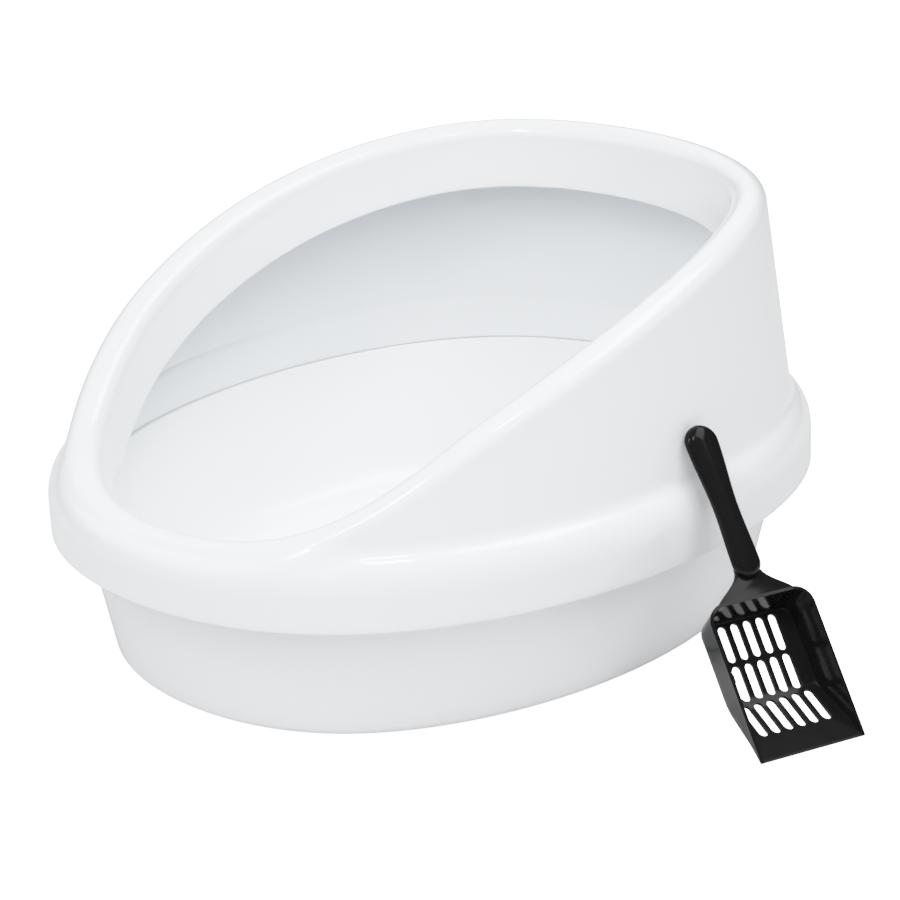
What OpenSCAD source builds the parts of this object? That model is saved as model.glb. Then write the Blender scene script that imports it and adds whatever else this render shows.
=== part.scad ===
// Oval open-topped litter box: pan, lift-off high-backed hood and a slotted scoop leaning on its side.
// Frame: millimetres, +Z up, origin at the centre of the pan's underside, low entry towards -Y.

/* [Plan shape] */
// length over the hood's bead, front to back
body_len = 547; // [430:1:680]
// width over the hood's bead
body_w = 468; // [370:1:580]
// how much blunter the back is than the front
egg = 2.1; // [0:0.1:6]
// how far the diagonals stand out beyond a plain ellipse
fullness = 4.4; // [0:0.2:9]

/* [Hood] */
// height of the crest at the back, which is the overall height
back_h = 287.5; // [225:0.5:360]
// height of the crest at the low entry in front
entry_h = 130; // [112:0.5:165]
// thickness of the hood's plastic
hood_t = 2.6; // [1.8:0.1:4]
// height of the skirt's lower edge above the ground
skirt_z = 89; // [70:0.5:98]
// height where the bead's upright side ends
bead_z = 112.5; // [104:0.5:130]
// height of the crease between the bead and the hood's wall
crease_z = 137.5; // [125:0.5:165]
// how far the crease stands in from the bead's side
crease_in = 13.8; // [9:0.2:18]
// inward lean of the hood's wall, in mm for each mm of height
draft = 0.12; // [0.02:0.01:0.2]
// radius of the rolled crest
crest_r = 12.6; // [8:0.2:18]
// depth of the flange that hangs inside the crest
flange_h = 45; // [28:0.5:70]
// how much further in the flange's lower edge stands
flange_in = 6.8; // [0:0.2:14]

/* [Pan] */
// height of the pan's rim
rim_z = 106.5; // [92:0.5:125]
// thickness of the pan's plastic
pan_t = 2.6; // [1.8:0.1:4]
// how far the foot of the pan's wall stands in from the bead's side
foot_in = 41.5; // [30:0.5:55]
// how far the top of the pan's wall stands in from the bead's side
wall_in = 18.6; // [17:0.2:26]
// how far forward the foot sits compared with the rim
foot_fwd = 4; // [0:0.5:10]
// radius of the edge under the pan
foot_r = 8; // [4:0.5:14]
// radius between the pan's wall and its floor
floor_r = 34; // [15:1:50]
// height of the turned-down lip round the pan's rim
lip_h = 10; // [6:0.5:14]

/* [Fit] */
// clearance between the pan's lip and the inside of the hood's skirt
rim_gap = 0.8; // [0.4:0.1:2]
// clearance between the hood's inner leg and the pan's rim, where the hood sits
seat_gap = 0.4; // [0.3:0.05:0.8]
// clearance between the scoop's handle and the hood's wall
lean_gap = 0.4; // [0.3:0.05:1]

/* [Scoop] */
// length of the scoop from lip to handle end
scoop_len = 221; // [190:1:270]
// width of the bowl over its rim
bowl_w = 77; // [62:1:94]
// length of the bowl
bowl_len = 104; // [90:1:122]
// depth of the bowl
bowl_d = 27; // [18:0.5:34]
// width of the bowl's flat floor, outside
bowl_floor_w = 69; // [58:1:78]
// length of the ramp between the lip and the flat floor
ramp_len = 42; // [34:1:50]
// thickness of the scoop's plastic
scoop_t = 2.2; // [1.6:0.1:3]
// width of the handle near its end
grip_w = 23.5; // [18:0.5:29]
// width of the handle at the neck
neck_w = 20; // [15:0.5:24]
// thickness of the handle
grip_t = 11; // [8:0.5:14]
// width of one slot
slot_w = 6.2; // [3:0.2:7]
// length of one slot
slot_len = 24.5; // [18:0.5:27]
// solid bar between two rows of slots
slot_bar = 2.5; // [2:0.1:4]
// distance from one slot to the next across the bowl
slot_pitch = 9.4; // [8:0.1:10.4]
// slots in each of the two rows by the handle, with one more in the row by the lip
slot_cols = 5; // [3:1:5]
// lean of the scoop from upright, in degrees
scoop_lean = 39.5; // [25:0.5:48]
// turn of the scoop about the upright, in degrees
scoop_yaw = -17; // [-30:1:20]
// where the lip's middle stands along the length of the box
scoop_y = -12; // [-60:1:60]

/* [Hidden] */
white = [0.95, 0.95, 0.96];
black = [0.04, 0.04, 0.045];

stations = 96;
turn = 360 / stations;

// plan outline, as a support function of the normal's direction, in degrees from +Y
half_l = body_len / 2;
half_w = body_w / 2;
mean_r = (half_l + half_w) / 2 + fullness;
oval_r = (half_l - half_w) / 2;
function reach(a) = mean_r + oval_r * cos(2 * a) - egg * cos(3 * a) - fullness * cos(4 * a);
function reach_d(a) = -2 * oval_r * sin(2 * a) + 3 * egg * sin(3 * a) + 4 * fullness * sin(4 * a);
function ring_x(a, o) = (reach(a) + o) * sin(a) + reach_d(a) * cos(a);
function ring_y(a, o) = (reach(a) + o) * cos(a) - reach_d(a) * sin(a);

// height of the crest along the length of the box: flat in front, steep, then easing to the back
knee_u = -0.413;
front_u = -1.04;
rear_u = 0.945;
knee_f = 0.515;
knee_slope = 0.764;
function ease(t, p0, p1, m0, m1) =
    (2 * t * t * t - 3 * t * t + 1) * p0 + (t * t * t - 2 * t * t + t) * m0
    + (3 * t * t - 2 * t * t * t) * p1 + (t * t * t - t * t) * m1;
function clamp01(t) = min(max(t, 0), 1);
function rise_low(u) =
    ease(clamp01((u - front_u) / (knee_u - front_u)), 0, knee_f, 0, knee_slope * (knee_u - front_u));
function rise_high(u) =
    ease(clamp01((u - knee_u) / (rear_u - knee_u)), knee_f, 1, knee_slope * (rear_u - knee_u), 0);
function rise(u) = u < knee_u ? rise_low(u) : rise_high(u);
function crest_at(y) = entry_h + (back_h - entry_h) * rise(y / half_l);
function wall_off(z) = -crease_in - draft * (z - crease_z);
function crest_guess(a) = crest_at(ring_y(a, -crease_in - crest_r));
function crest_z(a) = crest_at(ring_y(a, wall_off(crest_guess(a) - crest_r)));

// hood section: the bead's shoulder, the crease, the wall and the rolled crest
shoulder_end = 65;
shoulder_share = 0.8;
shoulder_a = crease_in / (1 - cos(shoulder_end));
shoulder_b = (crease_z - bead_z) / sin(shoulder_end);
crease_rise = 7;
arc_steps = 4;
bend_steps = 4;
roll_steps = 10;
climb_steps = arc_steps + bend_steps + 1 + roll_steps / 2;
full_z = crease_z + crease_rise + crest_r + 2;
blend_rise = 6;
function shoulder(f) =
    [-shoulder_a * (1 - cos(f * shoulder_end)), bead_z + shoulder_b * sin(f * shoulder_end)];
function bend(t) = (1 - t) * (1 - t) * shoulder(shoulder_share) + 2 * t * (1 - t) * [-crease_in, crease_z]
    + t * t * [wall_off(crease_z + crease_rise), crease_z + crease_rise];
function roll(k, z) = [
    wall_off(z - crest_r) - crest_r + crest_r * cos(180 * k / roll_steps),
    z - crest_r + crest_r * sin(180 * k / roll_steps)
];
function tall(k, z) = k <= arc_steps ? shoulder(shoulder_share * k / arc_steps)
    : k <= arc_steps + bend_steps ? bend((k - arc_steps) / bend_steps)
    : roll(k - arc_steps - bend_steps - 1, z);
function squash(p, z) = [p[0], bead_z + (p[1] - bead_z) * (z - bead_z) / (max(z, full_z) - bead_z)];
function crest_in(z) = crest_r - wall_off(z - crest_r);
function pull(p, z) = [p[0] * crest_in(z) / crest_in(max(z, full_z)), p[1]];
function low(k, z) = [
    -crest_in(z) * (1 - cos(90 * k / climb_steps)),
    bead_z + (z - bead_z) * sin(90 * k / climb_steps)
];
function blend(z) = ease(clamp01((z - crease_z) / (full_z + blend_rise - crease_z)), 0, 1, 0, 0);
function climb(k, z) =
    blend(z) * pull(squash(tall(k, max(z, full_z)), z), z) + (1 - blend(z)) * low(k, z);

// the flange inside the crest gets shallower towards the entry
flange_front = 0.45;
function hang(z) = flange_h * (flange_front + (1 - flange_front) * blend(z));
function flange_pt(t, z) = [
    wall_off(z - crest_r) - 2 * crest_r - flange_in * t,
    z - crest_r - (hang(z) - crest_r) * t
];
edge_in = hood_t / 4;
edge_up = hood_t / 3;
function outer_side(z) = concat(
    [[-edge_in, skirt_z], [0, skirt_z + edge_up]],
    [for (k = [0:climb_steps]) climb(k, z)],
    [for (k = [roll_steps / 2 + 1:roll_steps]) roll(k, z)],
    [flange_pt(0.5, z), flange_pt(1, z)]
);

// inner side, one plastic thickness away from the outer side
function unit(v) = v / norm(v);
function side_dir(p, i) = unit(p[min(i + 1, len(p) - 1)] - p[i - 1]);
function shifted(p, i, t) = p[i] + t * [-side_dir(p, i)[1], side_dir(p, i)[0]];
leg_slack = 0.8;
leg_in = wall_in - leg_slack;
leg_flare = 0.6;
low_leg_share = 0.7;
leg_z = rim_z + seat_gap;
leg_top = crease_z - crease_rise;
function leg_line(z) = -leg_in + (z - leg_z) * (leg_in - crease_in - hood_t) / (crease_z - leg_z);
function inner_pt(q) = [min(q[0], leg_line(q[1])), max(q[1], leg_z + hood_t)];
function top_of_leg(z) = blend(z) * leg_top + (1 - blend(z)) * (bead_z + low_leg_share * (z - bead_z));
first_in = 2 + arc_steps + bend_steps;
function inner_side(p, z) = concat(
    [for (i = [len(p) - 1:-1:first_in]) inner_pt(shifted(p, i, hood_t))],
    [[leg_line(leg_z), leg_z], [leg_line(leg_z) + hood_t, leg_z]],
    [[leg_line(leg_z) + hood_t + leg_flare, top_of_leg(z)]],
    [for (i = [2 + arc_steps:-1:2]) shifted(p, i, hood_t)],
    [[-hood_t, skirt_z + edge_up], [edge_in - hood_t, skirt_z]]
);
function hood_section(z) = concat(outer_side(z), inner_side(outer_side(z), z));
function hood_ring(a) =
    [for (p = hood_section(crest_z(a))) [ring_x(a, p[0]), ring_y(a, p[0]), p[1]]];

// pan section, from the middle of the underside round the rim to the middle of the floor
lip_off = -hood_t - rim_gap;
lean_slope = (foot_in - wall_in) / (rim_z - pan_t);
function pan_wall(z) = -foot_in + lean_slope * z;
lean_deg = atan(lean_slope);
foot_arc = 90 - lean_deg;
foot_c = pan_wall(foot_r) - foot_r / cos(lean_deg);
floor_c = pan_wall(pan_t + floor_r) - (pan_t + floor_r) / cos(lean_deg);
arc_n = 6;
rim_r = 1.4;
under_z = rim_z - pan_t;
neck_h = 3;
neck_out = 1.2;
throat_r = 3 * rim_r;
throat_n = 3;
throat_in = pan_wall(rim_z) - pan_t - rim_r / 4;
pan_section = concat(
    [for (k = [0:arc_n]) [
        foot_c + foot_r * sin(foot_arc * k / arc_n),
        foot_r - foot_r * cos(foot_arc * k / arc_n)
    ]],
    [[pan_wall(under_z / 2), under_z / 2]],
    [[pan_wall(under_z - neck_h), under_z - neck_h], [pan_wall(under_z) + neck_out, under_z]],
    [[lip_off - pan_t, under_z], [lip_off - pan_t, rim_z - lip_h]],
    [[lip_off, rim_z - lip_h], [lip_off, rim_z - rim_r], [lip_off - rim_r, rim_z]],
    [for (k = [0:throat_n]) [
        throat_in + throat_r * (1 - sin(90 * k / throat_n)),
        rim_z - throat_r * (1 - cos(90 * k / throat_n))
    ]],
    [[pan_wall(rim_z / 2) - pan_t / cos(lean_deg), rim_z / 2]],
    [for (k = [arc_n:-1:0]) [
        floor_c + floor_r * sin(foot_arc * k / arc_n),
        pan_t + floor_r - floor_r * cos(foot_arc * k / arc_n)
    ]]
);
function pan_ring(a) = [for (p = pan_section) [
    ring_x(a, p[0]),
    ring_y(a, p[0]) - foot_fwd * clamp01(1 - p[1] / (rim_z - 2 * lip_h)),
    p[1]
]];

// skins over a ring of sections
function flat_list(rings) = [for (r = rings) for (p = r) p];
function quad(i, j, n, m) = [
    [i * m + j, ((i + 1) % n) * m + j, ((i + 1) % n) * m + (j + 1) % m],
    [i * m + j, ((i + 1) % n) * m + (j + 1) % m, i * m + (j + 1) % m]
];
function skin(n, m, last) = [for (i = [0:n - 1]) for (j = [0:last]) for (f = quad(i, j, n, m)) f];

// scoop pose: the lip stands on the ground and the handle's end leans on the hood's wall
grip_r = grip_w / 2;
grip_end = scoop_len - grip_r;
edge_r = grip_t / 2;
lip_dir = [-sin(scoop_yaw), cos(scoop_yaw), 0];
in_dir = [-cos(scoop_yaw), -sin(scoop_yaw), 0];
along = cos(scoop_lean) * [0, 0, 1] + sin(scoop_lean) * in_dir;
face = sin(scoop_lean) * [0, 0, 1] - cos(scoop_lean) * in_dir;
lip_t = 1.4;
lip_z = lip_t * sin(scoop_lean);
grip_lift = 1.5;
function out_of_wall(p) =
    max([for (a = [50:1:130]) p[0] * sin(a) + p[1] * cos(a) - reach(a) - wall_off(p[2])]);
wall_norm = norm([1, draft]);
face_cos = (face[0] + draft * face[2]) / wall_norm;
contact_r = (grip_r - edge_r) * sqrt(1 - face_cos * face_cos) + edge_r;
function grip_at(x) = [x, scoop_y, lip_z] + along * grip_end + face * grip_lift;
function settle(x, n) =
    n == 0 ? x : settle(x + (contact_r + lean_gap) * wall_norm - out_of_wall(grip_at(x)), n - 1);
scoop_x = settle(half_w + 100, 5);
scoop_pose = [
    [lip_dir[0], along[0], face[0], scoop_x],
    [lip_dir[1], along[1], face[1], scoop_y],
    [lip_dir[2], along[2], face[2], lip_z],
    [0, 0, 0, 1]
];

module pan() {
    n = stations;
    m = len(pan_section);
    color(white)
        polyhedron(
            points = flat_list([for (i = [0:n - 1]) pan_ring(i * turn)]),
            faces = concat(
                skin(n, m, m - 2),
                [[for (i = [n - 1:-1:0]) i * m], [for (i = [0:n - 1]) i * m + m - 1]]
            ),
            convexity = 6
        );
}

module hood() {
    n = stations;
    m = len(hood_section(back_h));
    color(white)
        polyhedron(
            points = flat_list([for (i = [0:n - 1]) hood_ring(i * turn)]),
            faces = skin(n, m, m - 1),
            convexity = 8
        );
}

// a flat disc with a fully rounded edge
module pebble(r, t) {
    rotate_extrude($fn = 40)
        union() {
            translate([0, -t / 2])
                square([r - t / 2, t]);
            translate([r - t / 2, 0])
                intersection() {
                    circle(t / 2, $fn = 20);
                    translate([0, -t])
                        square([t, 2 * t]);
                }
        }
}

// scoop, in its own frame: x across, y from lip to handle end, z towards its open face
corner_r = 13;
floor_corner = 9;
back_in = 5;
rim_band = 1;
point_r = 0.2;
over = 3;
plate_t = 3;
plate_y = bowl_len + 15;
plate_under = 12;
plate_tuck = 0.5;
flare_out = 5;
flare_up = 7;
seam_turn = 15;

module post(x, y, r, low, high) {
    translate([x, y, low])
        cylinder(r = r, h = high - low, $fn = 32);
}

module bowl_outside() {
    hull()
        for (s = [-1, 1]) {
            post(s * (bowl_w / 2 - point_r), point_r, point_r, -lip_t, 0);
            post(s * (bowl_w / 2 - corner_r), bowl_len - corner_r, corner_r, -rim_band, 0);
            post(s * (bowl_floor_w / 2 - floor_corner), ramp_len + floor_corner, floor_corner,
                -bowl_d, point_r - bowl_d);
            post(s * (bowl_floor_w / 2 - floor_corner), bowl_len - back_in - floor_corner, floor_corner,
                -bowl_d, point_r - bowl_d);
        }
}

module bowl_inside() {
    side = bowl_w / 2 - scoop_t - point_r;
    floor_z = scoop_t - bowl_d;
    floor_r = floor_corner - scoop_t;
    hull()
        for (s = [-1, 1]) {
            post(s * side, -over, point_r, -over * floor_z / ramp_len, over);
            post(s * (bowl_w / 2 - corner_r), bowl_len - corner_r, corner_r - scoop_t, -rim_band, over);
            post(s * (bowl_floor_w / 2 - floor_corner), ramp_len + floor_corner, floor_r,
                floor_z, floor_z + point_r);
            post(s * (bowl_floor_w / 2 - floor_corner), bowl_len - back_in - floor_corner, floor_r,
                floor_z, floor_z + point_r);
        }
}

// one row of slots, cut square through the floor from y0 on
module slot_row(cols, y0) {
    for (i = [0:cols - 1])
        translate([(i - (cols - 1) / 2) * slot_pitch, y0, -bowl_d - over])
            linear_extrude(bowl_d)
                union() {
                    for (e = [slot_w / 2, slot_len - slot_w / 2])
                        translate([0, e])
                            circle(slot_w / 2, $fn = 20);
                    translate([-slot_w / 2, slot_w / 2])
                        square([slot_w, slot_len - slot_w]);
                }
}

module bowl() {
    row_step = slot_len + slot_bar;
    mid_row = ramp_len + slot_bar / 2;
    difference() {
        bowl_outside();
        bowl_inside();
        slot_row(slot_cols, mid_row + row_step);
        slot_row(slot_cols, mid_row);
        slot_row(slot_cols + 1, mid_row - row_step);
    }
}

// flat plate between the bowl's back edge and the handle, with hollow flanks
function curve(t, a, b, c, d) =
    pow(1 - t, 3) * a + 3 * t * pow(1 - t, 2) * b + 3 * t * t * (1 - t) * c + t * t * t * d;
module neck_plate() {
    steps = 12;
    seam_r = corner_r - scoop_t / 2;
    seam = [bowl_w / 2 - corner_r + seam_r * sin(seam_turn), bowl_len - corner_r + seam_r * cos(seam_turn)];
    top = [neck_w / 2 - plate_tuck, plate_y + plate_under];
    knee = [top[0], plate_y - flare_out];
    flare = seam + [-flare_out, flare_up];
    flank = [for (k = [0:steps]) curve(k / steps, seam, flare, knee, top)];
    translate([0, 0, -plate_t])
        linear_extrude(plate_t)
            polygon(concat(flank, [for (k = [steps:-1:0]) [-flank[k][0], flank[k][1]]]));
}

module grip() {
    hull() {
        translate([0, plate_y + neck_w / 2 - over, grip_lift])
            pebble(neck_w / 2, grip_t);
        translate([0, grip_end, grip_lift])
            pebble(grip_r, grip_t);
    }
}

module scoop() {
    color(black)
        multmatrix(scoop_pose)
            union() {
                bowl();
                neck_plate();
                grip();
            }
}

pan();
hood();
scoop();
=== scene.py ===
import math

import bmesh
import bpy
import numpy as np
from mathutils import Matrix, Vector
from mathutils.geometry import delaunay_2d_cdt


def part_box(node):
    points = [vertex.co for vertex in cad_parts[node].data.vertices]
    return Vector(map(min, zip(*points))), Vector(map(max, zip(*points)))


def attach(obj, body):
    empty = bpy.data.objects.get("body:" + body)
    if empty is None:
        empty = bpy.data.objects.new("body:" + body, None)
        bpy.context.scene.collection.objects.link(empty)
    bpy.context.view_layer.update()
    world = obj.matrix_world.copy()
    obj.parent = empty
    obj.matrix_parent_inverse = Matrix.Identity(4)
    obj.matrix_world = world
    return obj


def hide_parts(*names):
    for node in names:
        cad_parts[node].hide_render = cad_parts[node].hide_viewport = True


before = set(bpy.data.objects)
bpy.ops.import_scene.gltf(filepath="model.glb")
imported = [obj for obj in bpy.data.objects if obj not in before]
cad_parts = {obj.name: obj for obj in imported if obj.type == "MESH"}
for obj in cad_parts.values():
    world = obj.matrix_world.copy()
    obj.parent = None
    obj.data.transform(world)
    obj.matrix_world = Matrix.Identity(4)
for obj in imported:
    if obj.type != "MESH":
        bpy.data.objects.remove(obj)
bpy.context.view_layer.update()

MM = 0.001

# ---------------------------------------------------------------------------------------------
# Sizes, in millimetres. The overall ones come from the frame.
# ---------------------------------------------------------------------------------------------
hood_low, hood_high = (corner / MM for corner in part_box("hood"))
pan_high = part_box("pan")[1] / MM

half_l = (hood_high.y - hood_low.y) / 2
half_w = (hood_high.x - hood_low.x) / 2
back_h = hood_high.z
skirt_z = hood_low.z
rim_z = pan_high.z

egg = 2.1                # how much blunter the back is than the front
fullness = 4.4           # how far the diagonals stand out beyond a plain ellipse
entry_h = 130.0          # crest height at the low entry
hood_t = 2.6             # plastic thickness of the hood
bead_z = 112.5           # where the bead's upright side ends
bead_end = 65            # degrees the bead's shoulder turns
bead_share = 0.8         # share of the shoulder that is left below the crease's bend
crease_z = 137.5         # where the bead meets the wall
crease_in = 13.8         # how far the crease stands in from the bead's side
crease_rise = 7.0        # height over which the crease blends into the wall
draft = 0.12             # inward lean of the wall
crest_r = 12.6           # radius of the rolled crest
flange_h = 45.0          # depth of the flange that hangs inside the crest
flange_in = 6.8          # how much further in its lower edge stands
flange_front = 0.45      # share of that depth left at the entry
leg_slack = 0.8          # how far the leg's foot stands out from the pan's wall line
leg_r = 1.1              # half of the leg's thickness, and the radius of its foot
leg_flare = 0.6          # how much thicker the leg is at its top
leg_clear = 6.0          # height above the leg's foot that the wall's lowest points keep
low_leg_share = 0.7      # leg's height at the entry, as a share of the crest's
ledge_in = 1.2           # how far the leg stands in from the wall above it
ledge_tall = 2.5         # height of the soft step between them

pan_t = 2.6              # plastic thickness of the pan
foot_in = 41.5           # how far the foot of the pan's wall stands in
wall_in = 18.6           # how far its top stands in
foot_fwd = 4.0           # how far forward the foot sits
foot_r = 8.0             # radius of the edge under the pan
floor_r = 34.0           # radius between wall and floor
lip_h = 10.0             # turned-down lip of the rim
lip_edge = 1.2           # radius under that lip
lip_flat = 3.0           # depth below the rim's top where its outer radius starts
lip_r = 2.0              # that outer radius
top_r = 0.9              # radius between the rim's top and the pan's inside
neck_r = 2.4             # chamfer between the pan's wall and the underside of its rim
rim_gap = 0.8            # clearance between lip and skirt
seat_gap = 0.2           # clearance where the hood sits

lean_gap = 0.4           # clearance between the scoop's handle and the hood's wall

scoop_len = 221.0        # lip to handle end
bowl_w = 77.0            # bowl's width over its rim
bowl_len = 104.0         # bowl's length
bowl_d = 27.0            # bowl's depth
bowl_floor_w = 69.0      # width of its flat floor, outside
ramp_len = 42.0          # ramp between lip and floor
scoop_t = 2.2            # plastic thickness of the scoop
lip_t = 1.4              # depth of its lip below the rim plane
corner_r = 13.0          # plan radius of the bowl's back corners at the rim
floor_corner = 9.0       # and at the floor
back_in = 5.0            # how far the back wall leans in
grip_w = 23.5            # handle's width near its end
neck_w = 20.0            # and at the neck
waist_w = 17.5           # and between them
grip_t = 11.0            # handle's thickness
grip_lift = 1.5          # height of its middle above the rim plane
plate_t = 3.0            # plate between bowl and handle
plate_y = bowl_len + 15  # where the plate meets the handle
plate_under = 5.0        # how far the plate runs on under the handle
plate_tuck = 1.6         # how far its sides stand in from the neck's there
plate_edge = 0.7         # rounding of its edge
seam_turn = 15           # degrees round the bowl's corner where it starts
flare = (5.0, 7.0)       # reach of its hollow flank, across and along
nose_back = 3.0          # how far the handle's nose runs on over the plate
fillet_r = 4.0           # fillet between the bowl's walls and its floor
slot_w = 6.2             # one slot
slot_len = 24.5
slot_bar = 2.5           # bar between rows
slot_pitch = 9.4         # from slot to slot across
slot_cols = 5            # slots in each row by the handle, one more in the row by the lip
scoop_lean = 39.5        # degrees from upright
scoop_yaw = -17.0        # degrees about the upright
scoop_y = -12.0          # where the lip stands along the box

STATIONS = 288           # rings round the oval
FLANK = 6                # steps up the skirt
FLANGE = 8               # steps down the flange
LEG = 6                  # steps down the leg
WALL_ROWS = 14           # rows up the pan's wall
LIP_STEPS = 6            # steps round the rim's outer radius
RIM_STEPS = 8            # steps round its inner radius
FOOT_STEPS = 10          # steps round the edge under the pan
FLOOR_STEPS = 16         # steps from the pan's wall to its floor
CAP_RINGS = 6            # rings between the pan's flat faces' edges and their middles


# ---------------------------------------------------------------------------------------------
# Plan outline and crest line
# ---------------------------------------------------------------------------------------------
mean_r = (half_l + half_w) / 2 + fullness
oval_r = (half_l - half_w) / 2


def reach(angle):
    """Distance from the middle to the outline's tangent, for a normal at that angle."""
    return (mean_r + oval_r * math.cos(2 * angle) - egg * math.cos(3 * angle)
            - fullness * math.cos(4 * angle))


def reach_slope(angle):
    return (-2 * oval_r * math.sin(2 * angle) + 3 * egg * math.sin(3 * angle)
            + 4 * fullness * math.sin(4 * angle))


def plan_point(angle, offset):
    """Point of the outline moved out by offset, for a normal at that angle from +Y towards +X."""
    out = reach(angle) + offset
    slope = reach_slope(angle)
    return (out * math.sin(angle) + slope * math.cos(angle),
            out * math.cos(angle) - slope * math.sin(angle))


def ease(t, start, end, slope_in, slope_out):
    """Cubic from start to end with those slopes, for t from 0 to 1."""
    t = min(max(t, 0.0), 1.0)
    return ((2 * t ** 3 - 3 * t ** 2 + 1) * start + (t ** 3 - 2 * t ** 2 + t) * slope_in
            + (3 * t ** 2 - 2 * t ** 3) * end + (t ** 3 - t ** 2) * slope_out)


def crest_at(y):
    """Crest height along the box: flat in front, steep, then easing to the back."""
    front, knee, rear = -1.04, -0.413, 0.945
    knee_share, knee_slope = 0.515, 0.764
    u = y / half_l
    if u < knee:
        share = ease((u - front) / (knee - front), 0, knee_share, 0, knee_slope * (knee - front))
    else:
        share = ease((u - knee) / (rear - knee), knee_share, 1, knee_slope * (rear - knee), 0)
    return entry_h + (back_h - entry_h) * share


def wall_offset(z):
    return -crease_in - draft * (z - crease_z)


def crest_height(angle):
    guess = crest_at(plan_point(angle, -crease_in - crest_r)[1])
    return crest_at(plan_point(angle, wall_offset(guess - crest_r))[1])


# ---------------------------------------------------------------------------------------------
# Hood section, as (offset, height) pairs
# ---------------------------------------------------------------------------------------------
FINE = 3                              # finer steps than the CAD model's
ARC = 4 * FINE                        # steps over the bead's shoulder
BEND = 4 * FINE                       # steps round the crease
RISE = FINE                           # steps up the wall
ROLL = 5 * FINE                       # steps over half of the crest
CLIMB = ARC + BEND + RISE + ROLL
FULL_Z = crease_z + crease_rise + crest_r + 2   # lowest crest that still has a wall below it
BLEND_RISE = 6                        # further height over which the wall comes in


def mix(a, b, t):
    return (a[0] + (b[0] - a[0]) * t, a[1] + (b[1] - a[1]) * t)


def shoulder(share):
    end = math.radians(bead_end)
    wide = crease_in / (1 - math.cos(end))
    tall = (crease_z - bead_z) / math.sin(end)
    return (-wide * (1 - math.cos(share * end)), bead_z + tall * math.sin(share * end))


def crease_bend(t):
    start, corner = shoulder(bead_share), (-crease_in, crease_z)
    end = (wall_offset(crease_z + crease_rise), crease_z + crease_rise)
    return mix(mix(start, corner, t), mix(corner, end, t), t)


def crest_roll(turn, z):
    """Turn is 0 on the outside, 1 on the inside."""
    return (wall_offset(z - crest_r) - crest_r + crest_r * math.cos(math.pi * turn),
            z - crest_r + crest_r * math.sin(math.pi * turn))


def tall_climb(step, z):
    if step <= ARC:
        return shoulder(bead_share * step / ARC)
    if step <= ARC + BEND:
        return crease_bend((step - ARC) / BEND)
    if step <= ARC + BEND + RISE:
        return mix(crease_bend(1), crest_roll(0, z), (step - ARC - BEND) / RISE)
    return crest_roll((step - ARC - BEND - RISE) / ROLL / 2, z)


def crest_inset(z):
    return crest_r - wall_offset(z - crest_r)


def tallness(z):
    """0 where the crest rolls straight out of the bead, 1 where there is a wall between them."""
    return ease((z - crease_z) / (FULL_Z + BLEND_RISE - crease_z), 0, 1, 0, 0)


def climb(step, z):
    full = max(z, FULL_Z)
    high = tall_climb(step, full)
    high = (high[0] * crest_inset(z) / crest_inset(full),
            bead_z + (high[1] - bead_z) * (z - bead_z) / (full - bead_z))
    quarter = math.pi / 2 * step / CLIMB
    low = (-crest_inset(z) * (1 - math.cos(quarter)), bead_z + (z - bead_z) * math.sin(quarter))
    return mix(low, high, tallness(z))


def flange(t, z):
    drop = flange_h * (flange_front + (1 - flange_front) * tallness(z)) - crest_r
    return (wall_offset(z - crest_r) - 2 * crest_r - flange_in * t, z - crest_r - drop * t)


def inward(path, distance):
    """The path moved to its right-hand side by distance, point by point."""
    moved = []
    for i, point in enumerate(path):
        before, after = path[max(i - 1, 0)], path[min(i + 1, len(path) - 1)]
        dx, dz = after[0] - before[0], after[1] - before[1]
        length = math.hypot(dx, dz)
        moved.append((point[0] - distance * dz / length, point[1] + distance * dx / length))
    return moved


def round_end(a, b, steps=6):
    """Half-circle from a to b, bulging to the left of the way from a to b, without its two ends."""
    mid = mix(a, b, 0.5)
    ux, uz = (a[0] - b[0]) / 2, (a[1] - b[1]) / 2
    out = []
    for k in range(1, steps):
        t = math.pi * k / steps
        out.append((mid[0] + ux * math.cos(t) - uz * math.sin(t),
                    mid[1] + uz * math.cos(t) + ux * math.sin(t)))
    return out


leg_in = wall_in - leg_slack
leg_z = rim_z + seat_gap


def leg_line(z):
    return -leg_in + (z - leg_z) * (leg_in - crease_in - hood_t) / (crease_z - leg_z)


def ledge(height, z):
    """How far the inner side stands in at a height, from a soft step at the crease down."""
    return ledge_in * ease((crease_z + ledge_tall - height) / ledge_tall, 0, 1, 0, 0) * tallness(z)


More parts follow.
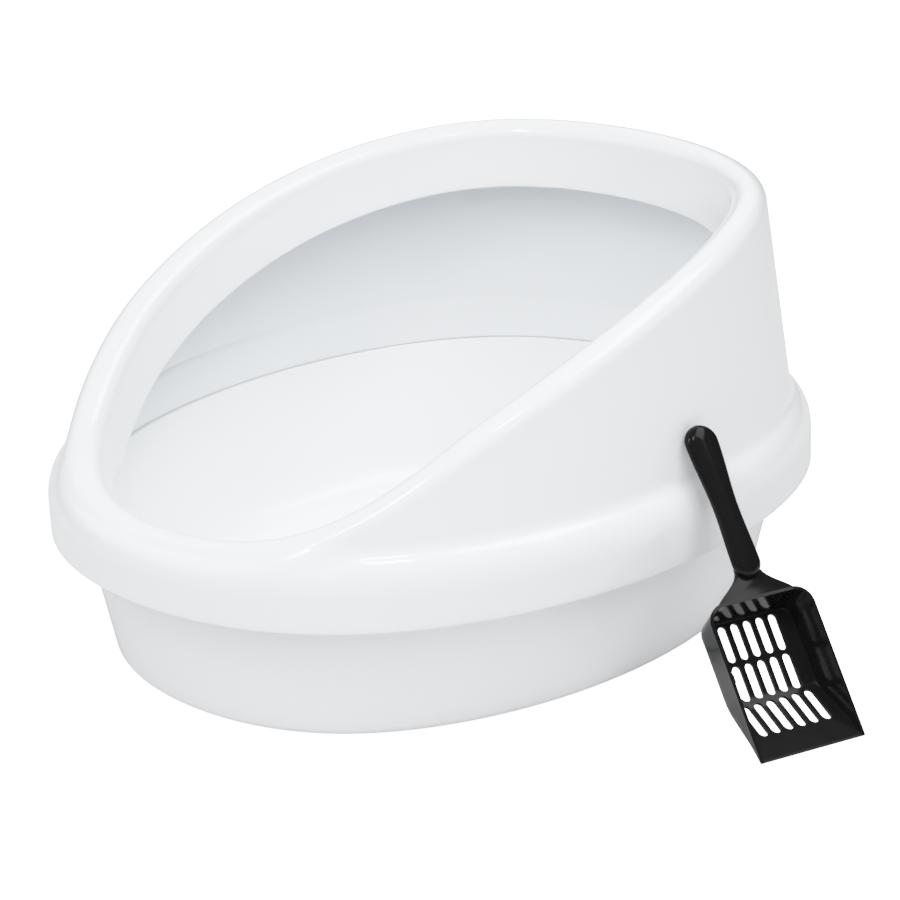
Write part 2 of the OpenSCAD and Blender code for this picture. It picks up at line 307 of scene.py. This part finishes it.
def hood_section(z):
    r = hood_t / 2
    flank = [(0, skirt_z + r + (bead_z - skirt_z - r) * k / FLANK) for k in range(FLANK)]
    outer = flank + [climb(k, z) for k in range(CLIMB + 1)]
    outer += [crest_roll(0.5 + k / ROLL / 2, z) for k in range(1, ROLL + 1)]
    outer += [flange(k / FLANGE, z) for k in range(1, FLANGE + 1)]
    back = inward(outer, hood_t)
    first_wall = len(flank) + ARC + BEND // 2
    hidden = [(min(p[0], leg_line(p[1])) - ledge(p[1], z), max(p[1], leg_z + leg_clear))
              for p in back[:first_wall:-1]]
    leg_low = leg_z + leg_r
    leg = [mix(hidden[-1], (leg_line(leg_low), leg_low), k / LEG) for k in range(1, LEG + 1)]
    leg_out = (leg_line(leg_low) + 2 * leg_r, leg_low)
    leg_top = crease_z - crease_rise
    low_top = bead_z + low_leg_share * (z - bead_z)
    top = (leg_out[0] + leg_flare, mix((0, low_top), (0, leg_top), tallness(z))[1])
    ceiling = back[len(flank) + ARC:len(flank) - 1:-1]
    bend_from, bend_to = 0.75, 0.4
    bend = [mix(mix(leg_out, top, bend_from + (1 - bend_from) * t), mix(top, ceiling[0], bend_to * t), t)
            for t in (0, 0.25, 0.5, 0.75, 1)]
    loop = outer + round_end(outer[-1], back[-1]) + hidden + leg
    loop += round_end(leg[-1], leg_out) + [leg_out, mix(leg_out, top, 0.4)] + bend + ceiling
    loop += back[len(flank) - 1::-1]
    loop += round_end(back[0], outer[0])
    return loop


def hood_ring(angle):
    ring = []
    for offset, z in hood_section(crest_height(angle)):
        x, y = plan_point(angle, offset)
        ring.append((x, y, z))
    return ring


# ---------------------------------------------------------------------------------------------
# Pan section
# ---------------------------------------------------------------------------------------------
wall_lean = math.atan((foot_in - wall_in) / (rim_z - pan_t))
lip_offset = -hood_t - rim_gap


def pan_wall(z):
    return -foot_in + (foot_in - wall_in) / (rim_z - pan_t) * z


def arc(cx, cz, r, start, end, steps):
    """Points on a circle, angles in degrees from +offset towards +height."""
    pts = []
    for k in range(steps + 1):
        t = math.radians(start + (end - start) * k / steps)
        pts.append((cx + r * math.cos(t), cz + r * math.sin(t)))
    return pts


def pan_section():
    lean = math.degrees(wall_lean)
    foot_c = pan_wall(foot_r) - foot_r / math.cos(wall_lean)
    floor_c = pan_wall(pan_t + floor_r) - (pan_t + floor_r) / math.cos(wall_lean)
    under = rim_z - pan_t
    inner_top = pan_wall(rim_z) - pan_t
    pts = arc(foot_c, foot_r, foot_r, -90, -lean, FOOT_STEPS)
    pts += [(pan_wall(z), z) for z in np.linspace(foot_r + 6, under - neck_r - 2, WALL_ROWS)]
    pts += [(pan_wall(under - neck_r), under - neck_r), (pan_wall(under) + neck_r, under)]
    pts += [(lip_offset - pan_t - 1, under)]
    pts += [(lip_offset - pan_t, under - 1), (lip_offset - pan_t, rim_z - lip_h + lip_edge)]
    pts += round_end((lip_offset - pan_t, rim_z - lip_h + lip_edge),
                     (lip_offset, rim_z - lip_h + lip_edge), LIP_STEPS)
    pts += [(lip_offset, rim_z - lip_h + lip_edge), (lip_offset, rim_z - lip_flat)]
    pts += arc(lip_offset - lip_r, rim_z - lip_r, lip_r, 0, 90, LIP_STEPS)
    pts += arc(inner_top + top_r, rim_z - top_r, top_r, 90, 180 - lean, RIM_STEPS)
    pts += [(pan_wall(z) - pan_t / math.cos(wall_lean), z)
            for z in np.linspace(rim_z - 10, floor_r + 10, WALL_ROWS)]
    pts += arc(floor_c, pan_t + floor_r, floor_r, -lean, -90, FLOOR_STEPS)
    return pts


def pan_ring(angle, section):
    ring = []
    for offset, z in section:
        x, y = plan_point(angle, offset)
        share = min(max(1 - z / (rim_z - 2 * lip_h), 0), 1)
        ring.append((x, y - foot_fwd * share, z))
    return ring


# ---------------------------------------------------------------------------------------------
# Meshes
# ---------------------------------------------------------------------------------------------
def new_piece(name, points, faces, body, material, node):
    mesh = bpy.data.meshes.new(name)
    mesh.from_pydata([Vector(p) * MM for p in points], [], faces)
    mesh.validate()
    piece = bpy.data.objects.new(name, mesh)
    bpy.context.scene.collection.objects.link(piece)
    bm = bmesh.new()
    bm.from_mesh(mesh)
    bmesh.ops.recalc_face_normals(bm, faces=bm.faces)
    bm.to_mesh(mesh)
    bm.free()
    mesh.materials.append(material)
    mesh.shade_smooth()
    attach(piece, body)
    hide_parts(node)
    return piece


def swept(rings, closed):
    """Quads over a closed round of rings; a closed section joins its last point to its first."""
    count, size = len(rings), len(rings[0])
    points = [p for ring in rings for p in ring]
    faces = []
    for i in range(count):
        j = (i + 1) % count
        for k in range(size if closed else size - 1):
            m = (k + 1) % size
            faces.append((i * size + k, j * size + k, j * size + m, i * size + m))
    return points, faces


def angles():
    return [2 * math.pi * k / STATIONS for k in range(STATIONS)]


def cap_rings(ring, steps):
    """Rings that shrink from ring to its centre, so that a flat face is an even grid."""
    cx = sum(p[0] for p in ring) / len(ring)
    cy = sum(p[1] for p in ring) / len(ring)
    rings = [[(cx + (x - cx) * (1 - k / steps), cy + (y - cy) * (1 - k / steps), z) for x, y, z in ring]
             for k in range(1, steps)]
    return rings, (cx, cy, ring[0][2])


def make_pan(material):
    section = pan_section()
    rings = [pan_ring(a, section) for a in angles()]
    points, faces = swept(rings, closed=False)
    size = len(section)
    for end in (0, size - 1):
        edge = [i * size + end for i in range(STATIONS)]
        inner, centre = cap_rings([points[i] for i in edge], CAP_RINGS)
        for ring in inner:
            start = len(points)
            points += ring
            fresh = list(range(start, start + STATIONS))
            for i in range(STATIONS):
                j = (i + 1) % STATIONS
                faces.append((edge[i], edge[j], fresh[j], fresh[i]))
            edge = fresh
        points.append(centre)
        for i in range(STATIONS):
            faces.append((edge[i], edge[(i + 1) % STATIONS], len(points) - 1))
    return new_piece("litter_pan", points, faces, "pan", material, "pan")


def make_hood(material):
    rings = [hood_ring(a) for a in angles()]
    points, faces = swept(rings, closed=True)
    return new_piece("high_back_hood", points, faces, "hood", material, "hood")


# ---------------------------------------------------------------------------------------------
# Scoop, in its own frame: x across, y from lip to handle end, z towards its open face
# ---------------------------------------------------------------------------------------------
def scoop_pose():
    """Stands the lip on the ground and leans the handle's end on the hood's wall."""
    yaw, lean = math.radians(scoop_yaw), math.radians(scoop_lean)
    across = Vector((-math.sin(yaw), math.cos(yaw), 0))
    inwards = Vector((-math.cos(yaw), -math.sin(yaw), 0))
    along = math.cos(lean) * Vector((0, 0, 1)) + math.sin(lean) * inwards
    face = math.sin(lean) * Vector((0, 0, 1)) - math.cos(lean) * inwards
    wall_norm = math.hypot(1, draft)
    face_cos = (face.x + draft * face.z) / wall_norm
    edge_r = grip_t / 2
    reach_out = (grip_w / 2 - edge_r) * math.sqrt(1 - face_cos ** 2) + edge_r
    sides = [math.radians(a) for a in range(50, 131)]
    start = Vector((half_w + 100, scoop_y, lip_t * math.sin(lean)))
    rounds = 6
    for _ in range(rounds):
        end = start + along * (scoop_len - grip_w / 2) + face * grip_lift
        out = max(end.x * math.sin(a) + end.y * math.cos(a) - reach(a) - wall_offset(end.z) for a in sides)
        start.x += (reach_out + lean_gap) * wall_norm - out
    return Matrix.Translation(start) @ Matrix((across, along, face)).transposed().to_4x4()


def bowl_depth(y):
    """Depth of the floor's outside below the rim plane: a ramp from the lip, then flat."""
    bend = 7.0
    slope = (bowl_d - lip_t) / ramp_len
    past = y - ramp_len
    if past >= bend:
        return bowl_d
    if past <= -bend:
        return lip_t + slope * y
    return bowl_d - slope * (past - bend) ** 2 / (4 * bend)


def u_outline(half, back, radius):
    """Points and inward directions from the lip's left corner round the back to its right corner."""
    side_steps, turn_steps, back_steps = 30, 10, 16
    side = [k / side_steps for k in range(side_steps + 1)]
    left = [((-half, (back - radius) * t), (1, 0)) for t in side]
    turn = [math.radians(90 * k / turn_steps) for k in range(1, turn_steps + 1)]
    left += [((-half + radius * (1 - math.cos(t)), back - radius + radius * math.sin(t)),
              (math.cos(t), -math.sin(t))) for t in turn]
    across = [k / back_steps for k in range(1, back_steps // 2)]
    left += [((-(half - radius) * (1 - 2 * t), back), (0, -1)) for t in across]
    right = [((-x, y), (-nx, ny)) for (x, y), (nx, ny) in reversed(left)]
    return left + [((0, back), (0, -1))] + right


def wall_band():
    """Columns of points from the rim down the wall and round the fillet to the floor."""
    columns = []
    wall_steps = 6
    rim = u_outline(bowl_w / 2, bowl_len, corner_r)
    foot = u_outline(bowl_floor_w / 2, bowl_len - back_in, floor_corner)
    for (top, _), (low, inside) in zip(rim, foot):
        depth = bowl_depth(low[1])
        share = depth / bowl_d
        base = Vector((*mix(top, low, share), -depth))
        head = Vector((*top, 0))
        fillet = min(fillet_r, 0.45 * depth)
        upper = base + (head - base).normalized() * fillet
        end = base + Vector((*inside, 0)) * fillet
        end.z = -bowl_depth(end.y)
        column = [head.lerp(upper, k / wall_steps) for k in range(wall_steps + 1)]
        for k in range(1, wall_steps + 1):
            t = k / wall_steps
            column.append(upper.lerp(base, t).lerp(base.lerp(end, t), t))
        columns.append(column)
    return columns


def slot_outlines():
    outlines = []
    end_steps = 12
    step = slot_len + slot_bar
    first = ramp_len + slot_bar / 2
    for cols, low in ((slot_cols, first + step), (slot_cols, first), (slot_cols + 1, first - step)):
        for i in range(cols):
            x = (i - (cols - 1) / 2) * slot_pitch
            r = slot_w / 2
            loop = []
            for cy, turned in ((low + slot_len - r, 0), (low + r, 180)):
                for k in range(end_steps + 1):
                    t = math.radians(turned + 180 * k / end_steps)
                    loop.append((x + r * math.cos(t), cy + r * math.sin(t)))
            outlines.append(loop)
    return outlines


def inside(point, loop):
    x, y = point
    hit = False
    for (x0, y0), (x1, y1) in zip(loop, loop[1:] + loop[:1]):
        if (y0 > y) != (y1 > y) and x < x0 + (y - y0) * (x1 - x0) / (y1 - y0):
            hit = not hit
    return hit


def floor_patch(edge):
    """Triangles over the floor within edge, with the slots left out."""
    slots = slot_outlines()
    loops = [edge] + slots
    points, edges = [], []
    for loop in loops:
        start = len(points)
        points += loop
        edges += [(start + i, start + (i + 1) % len(loop)) for i in range(len(loop))]
    spacing, clear = 2.0, 0.8
    half_cols, rows = math.ceil(bowl_w / 2 / spacing), int(bowl_len / spacing)
    for i in range(-half_cols, half_cols + 1):
        for j in range(1, rows):
            spot = (i * spacing, j * spacing)
            near = min(math.hypot(spot[0] - x, spot[1] - y) for x, y in points)
            if near > clear and inside(spot, edge) and not any(inside(spot, slot) for slot in slots):
                points.append(spot)
    made = delaunay_2d_cdt([Vector(p) for p in points], edges, [], 0, 1e-5)
    flat = [tuple(v) for v in made[0]]
    faces = []
    for tri in made[2]:
        middle = (sum(flat[v][0] for v in tri) / 3, sum(flat[v][1] for v in tri) / 3)
        if inside(middle, edge) and not any(inside(middle, slot) for slot in slots):
            faces.append(tri)
    return [(x, y, -bowl_depth(y)) for x, y in flat], faces


def bowl_mesh():
    columns = wall_band()
    size = len(columns[0])
    points = [tuple(p) for column in columns for p in column]
    faces = []
    for i in range(len(columns) - 1):
        for k in range(size - 1):
            faces.append((i * size + k, i * size + k + 1, (i + 1) * size + k + 1, (i + 1) * size + k))
    left, right = columns[0][-1], columns[-1][-1]
    lip_steps = 24
    lip = [tuple(right.lerp(left, k / lip_steps))[:2] for k in range(1, lip_steps)]
    patch_points, patch_faces = floor_patch([tuple(c[-1])[:2] for c in columns] + lip)
    start = len(points)
    points += patch_points
    faces += [tuple(start + v for v in face) for face in patch_faces]
    bm = bmesh.new()
    verts = [bm.verts.new(p) for p in points]
    for face in faces:
        bm.faces.new([verts[v] for v in face])
    bmesh.ops.remove_doubles(bm, verts=bm.verts, dist=0.01)
    loose = [v for v in bm.verts if not v.link_faces]
    bmesh.ops.delete(bm, geom=loose, context="VERTS")
    bmesh.ops.recalc_face_normals(bm, faces=bm.faces)
    middle = min(bm.faces, key=lambda f: f.calc_center_median().z)
    if middle.normal.z > 0:
        bmesh.ops.reverse_faces(bm, faces=bm.faces)
    bmesh.ops.solidify(bm, geom=bm.faces[:], thickness=scoop_t)
    return bm


def neck_outline():
    steps = 20
    turned = math.radians(seam_turn)
    seam_r = corner_r - scoop_t / 2
    seam = (bowl_w / 2 - corner_r + seam_r * math.sin(turned),
            bowl_len - corner_r + seam_r * math.cos(turned))
    top = (neck_w / 2 - plate_tuck, plate_y + plate_under)
    knee = (top[0], plate_y - flare[0])
    hollow = (seam[0] - flare[0], seam[1] + flare[1])
    flank = []
    for k in range(steps + 1):
        t = k / steps
        low, high = mix(seam, hollow, t), mix(knee, top, t)
        waist = mix(hollow, knee, t)
        flank.append(mix(mix(low, waist, t), mix(waist, high, t), t))
    return flank + [(-x, y) for x, y in reversed(flank)]


def add_plate(bm):
    """Plate between bowl and handle, with a rounded edge."""
    outline = neck_outline()
    edge, corner = plate_edge, plate_edge * 0.3
    levels = [(0, edge), (corner, corner), (edge, 0), (plate_t - edge, 0),
              (plate_t - corner, corner), (plate_t, edge)]
    rows = []
    for down, shrink in levels:
        row = []
        for i, (x, y) in enumerate(outline):
            bx, by = outline[max(i - 1, 0)]
            ax, ay = outline[min(i + 1, len(outline) - 1)]
            length = math.hypot(ax - bx, ay - by)
            row.append(bm.verts.new((x - shrink * (ay - by) / length,
                                     y + shrink * (ax - bx) / length, -down)))
        rows.append(row)
    count = len(outline)
    for low, high in zip(rows, rows[1:]):
        for i in range(count):
            j = (i + 1) % count
            bm.faces.new((low[i], low[j], high[j], high[i]))
    bm.faces.new(reversed(rows[0]))
    bm.faces.new(rows[-1])


def grip_width(y):
    nose_len, waist_y = 8, plate_y + 43
    start, middle, end = plate_y - nose_back + nose_len, waist_y, scoop_len - grip_w / 2
    if y < middle:
        return ease((y - start) / (middle - start), neck_w, waist_w, 0, 0)
    return ease((y - middle) / (end - middle), waist_w, grip_w, 0, 0)


def add_grip(bm):
    """Handle: domed all round, with a ball nose on the plate, a waist and a full round end."""
    nose, end = plate_y - nose_back, scoop_len
    nose_r, end_r = neck_w / 2, grip_w / 2
    nose_steps, shaft_steps, end_steps, around = 12, 40, 14, 40
    blunt = 0.7
    ys = [nose + nose_r * (1 - math.cos(math.pi / 2 * k / nose_steps)) for k in range(nose_steps + 1)]
    ys += list(np.linspace(nose + nose_r, end - end_r, shaft_steps))[1:]
    ys += [end - end_r + end_r * math.sin(math.pi / 2 * k / end_steps) for k in range(1, end_steps + 1)]
    rings = []
    for y in ys[1:-1]:
        near = min((y - nose) / nose_r, 1)
        far = min((end - y) / end_r, 1)
        cap = math.sqrt(1 - (1 - near) ** 2) * math.sqrt(1 - (1 - far) ** 2)
        half = grip_width(y) / 2 * cap
        thick = grip_t / 2 * cap ** blunt
        ring = []
        for k in range(around):
            t = 2 * math.pi * k / around
            c, q = math.cos(t), math.sin(t)
            ring.append(bm.verts.new((half * c, y, grip_lift + thick * q)))
        rings.append(ring)
    for low, high in zip(rings, rings[1:]):
        for k in range(around):
            m = (k + 1) % around
            bm.faces.new((low[k], low[m], high[m], high[k]))
    for ring, y, turned in ((rings[0], ys[0], True), (rings[-1], ys[-1], False)):
        tip = bm.verts.new((0, y, grip_lift))
        for k in range(around):
            m = (k + 1) % around
            bm.faces.new((tip, ring[m], ring[k]) if turned else (tip, ring[k], ring[m]))


SHARP = 38                            # degrees between faces that keep a crisp edge


def corners_of(face):
    """The face's corners from the lowest index on, so that each run lists them alike."""
    corners = [v.index for v in face.verts]
    first = corners.index(min(corners))
    return tuple(corners[first:] + corners[:first])


def make_scoop(material):
    bm = bowl_mesh()
    add_plate(bm)
    add_grip(bm)
    bmesh.ops.recalc_face_normals(bm, faces=bm.faces)
    pose = scoop_pose()
    points = [tuple(pose @ v.co) for v in bm.verts]
    bm.verts.index_update()
    faces = sorted(corners_of(face) for face in bm.faces)
    bm.free()
    scoop = new_piece("litter_scoop", points, faces, "scoop", material, "scoop")
    scoop.data.set_sharp_from_angle(angle=math.radians(SHARP))
    return scoop


# ---------------------------------------------------------------------------------------------
# Materials
# ---------------------------------------------------------------------------------------------
CLOUDS = (9, 3)                       # scale and detail of each noise
SCUFFS = (60, 4)
PEEL = (420, 2)
PEEL_DEPTH = 0.0002                   # metres


def plastic(name, colour, tint, rough, level, peel):
    """Glossy moulded plastic: faint cloudy colour, uneven gloss, orange-peel skin and fine scuffs."""
    material = bpy.data.materials.new(name)
    material.use_nodes = True
    nodes, links = material.node_tree.nodes, material.node_tree.links
    shader = nodes["Principled BSDF"]
    shader.inputs["Specular IOR Level"].default_value = level
    place = nodes.new("ShaderNodeTexCoord")

    def noise(scale, detail):
        node = nodes.new("ShaderNodeTexNoise")
        node.inputs["Scale"].default_value = scale
        node.inputs["Detail"].default_value = detail
        links.new(place.outputs["Object"], node.inputs["Vector"])
        return node.outputs["Fac"]

    def ranged(value, low, high):
        node = nodes.new("ShaderNodeMapRange")
        node.inputs["To Min"].default_value = low
        node.inputs["To Max"].default_value = high
        links.new(value, node.inputs["Value"])
        return node.outputs["Result"]

    cloud = nodes.new("ShaderNodeMix")
    cloud.data_type = "RGBA"
    cloud.inputs["A"].default_value = (*colour, 1)
    cloud.inputs["B"].default_value = (*tint, 1)
    links.new(noise(*CLOUDS), cloud.inputs["Factor"])
    links.new(cloud.outputs["Result"], shader.inputs["Base Color"])
    links.new(ranged(noise(*SCUFFS), rough * 0.85, rough * 1.2), shader.inputs["Roughness"])
    bump = nodes.new("ShaderNodeBump")
    bump.inputs["Strength"].default_value = peel
    bump.inputs["Distance"].default_value = PEEL_DEPTH
    links.new(noise(*PEEL), bump.inputs["Height"])
    links.new(bump.outputs["Normal"], shader.inputs["Normal"])
    return material


# ---------------------------------------------------------------------------------------------
# Stage
# ---------------------------------------------------------------------------------------------
CAMERA_AZIMUTH = 47.36                # degrees
FLOOR_SIZE = 14                       # metres
FLOOR_DROP = 0.0005                   # metres below the pan's underside
FLOOR_GREY = 0.8
FLOOR_GLOW = 2.2                      # what a camera ray sees of the floor and of the world
WORLD_GLOW = 3.0


def camera_only(nodes, links, strength, otherwise):
    """A strength that a camera ray sees, with another value for the light that bounces."""
    path = nodes.new("ShaderNodeLightPath")
    pick = nodes.new("ShaderNodeMapRange")
    pick.inputs["To Min"].default_value = otherwise
    pick.inputs["To Max"].default_value = strength
    links.new(path.outputs["Is Camera Ray"], pick.inputs["Value"])
    return pick.outputs["Result"]


def make_floor():
    bpy.ops.mesh.primitive_plane_add(size=FLOOR_SIZE, location=(0, 0, -FLOOR_DROP))
    floor = bpy.context.object
    floor.name = "studio_floor"
    material = bpy.data.materials.new("studio_floor_white")
    material.use_nodes = True
    nodes, links = material.node_tree.nodes, material.node_tree.links
    shader = nodes["Principled BSDF"]
    shader.inputs["Base Color"].default_value = (FLOOR_GREY, FLOOR_GREY, FLOOR_GREY, 1)
    shader.inputs["Roughness"].default_value = 0.9
    shader.inputs["Specular IOR Level"].default_value = 0.1
    shader.inputs["Emission Color"].default_value = (1, 1, 1, 1)
    links.new(camera_only(nodes, links, FLOOR_GLOW, 0.0), shader.inputs["Emission Strength"])
    floor.data.materials.append(material)


def make_world():
    world = bpy.data.worlds.new("studio")
    world.use_nodes = True
    nodes, links = world.node_tree.nodes, world.node_tree.links
    nodes["Background"].inputs["Color"].default_value = (1, 1, 1, 1)
    links.new(camera_only(nodes, links, WORLD_GLOW, 0.0), nodes["Background"].inputs["Strength"])
    bpy.context.scene.world = world


def towards(azimuth, elevation):
    """Unit vector to that azimuth and elevation, in radians; azimuth 0 is in front, at -Y."""
    return Vector((math.sin(azimuth) * math.cos(elevation), -math.cos(azimuth) * math.cos(elevation),
                   math.sin(elevation)))


def softbox(name, turned, elevation, size, radiance, glossy=True):
    """Area light facing the object, turned from the camera's azimuth and raised, both in degrees."""
    distance, aim_z = 2.5, 0.1
    data = bpy.data.lights.new(name, "AREA")
    data.shape = "RECTANGLE"
    data.size, data.size_y = size
    data.energy = math.pi * size[0] * size[1] * radiance
    light = bpy.data.objects.new(name, data)
    bpy.context.scene.collection.objects.link(light)
    turn, rise = math.radians(CAMERA_AZIMUTH + turned), math.radians(elevation)
    way = towards(turn, rise)
    light.location = way * distance + Vector((0, 0, aim_z))
    light.rotation_euler = way.to_track_quat("Z", "Y").to_euler()
    light.visible_camera = False
    light.visible_glossy = glossy


def film_curve(white_level, bend):
    """Soft highlight shoulder: y = (1 - exp(-bend x)) / (1 - exp(-bend)), with x = light / white_level."""
    view = bpy.context.scene.view_settings
    view.view_transform = "Standard"
    view.use_curve_mapping = True
    mapping = view.curve_mapping
    mapping.white_level = (white_level,) * 3
    curve = mapping.curves[3]
    knots = (0.08, 0.2, 0.35, 0.5, 0.7, 0.85)
    for x in knots:
        curve.points.new(x, (1 - math.exp(-bend * x)) / (1 - math.exp(-bend)))
    mapping.update()


def make_camera():
    azimuth, elevation, roll = (math.radians(a) for a in (CAMERA_AZIMUTH, 21.10, -2.55))
    distance = 2.0924
    slide, lift = 0.0111, 0.1014
    back = towards(azimuth, elevation)
    right = (-back).cross(Vector((0, 0, 1))).normalized()
    up = right.cross(-back)
    place = right * slide + up * lift + back * distance
    turned_right = math.cos(roll) * right + math.sin(roll) * up
    turned_up = -math.sin(roll) * right + math.cos(roll) * up
    data = bpy.data.cameras.new("photo_camera")
    data.sensor_width = 36
    data.lens = 117.98
    data.clip_end = 50
    camera = bpy.data.objects.new("photo_camera", data)
    bpy.context.scene.collection.objects.link(camera)
    turn = Matrix((turned_right, turned_up, back)).transposed()
    camera.matrix_world = Matrix.Translation(place) @ turn.to_4x4()
    bpy.context.scene.camera = camera


# ---------------------------------------------------------------------------------------------
# The scene
# ---------------------------------------------------------------------------------------------
make_camera()
make_floor()
make_world()
softbox("front_softbox", 0, 53, (4.2, 2.3), 3.6, glossy=False)
softbox("right_softbox", 90, 62, (1.9, 1.06), 6.0)
softbox("left_softbox", -90, 36, (3.2, 1.25), 1.85)
softbox("back_softbox", 180, 36, (3.2, 1.25), 1.46)
softbox("left_window", -42, 52, (0.3, 0.5), 22.0)
softbox("right_window", 10, 62, (0.3, 0.3), 22.0)
film_curve(white_level=2.5, bend=2.5)

pan_white = plastic("white_pan_plastic", (0.928, 0.95, 0.966), (0.918, 0.942, 0.961),
                    rough=0.14, level=0.5, peel=0.05)
hood_white = plastic("white_gloss_plastic", (0.874, 0.898, 0.919), (0.862, 0.888, 0.912),
                     rough=0.12, level=0.5, peel=0.05)
black = plastic("black_gloss_plastic", (0.005, 0.005, 0.0053), (0.0075, 0.0075, 0.008),
                rough=0.14, level=0.11, peel=0.08)
make_pan(pan_white)
make_hood(hood_white)
make_scoop(black)
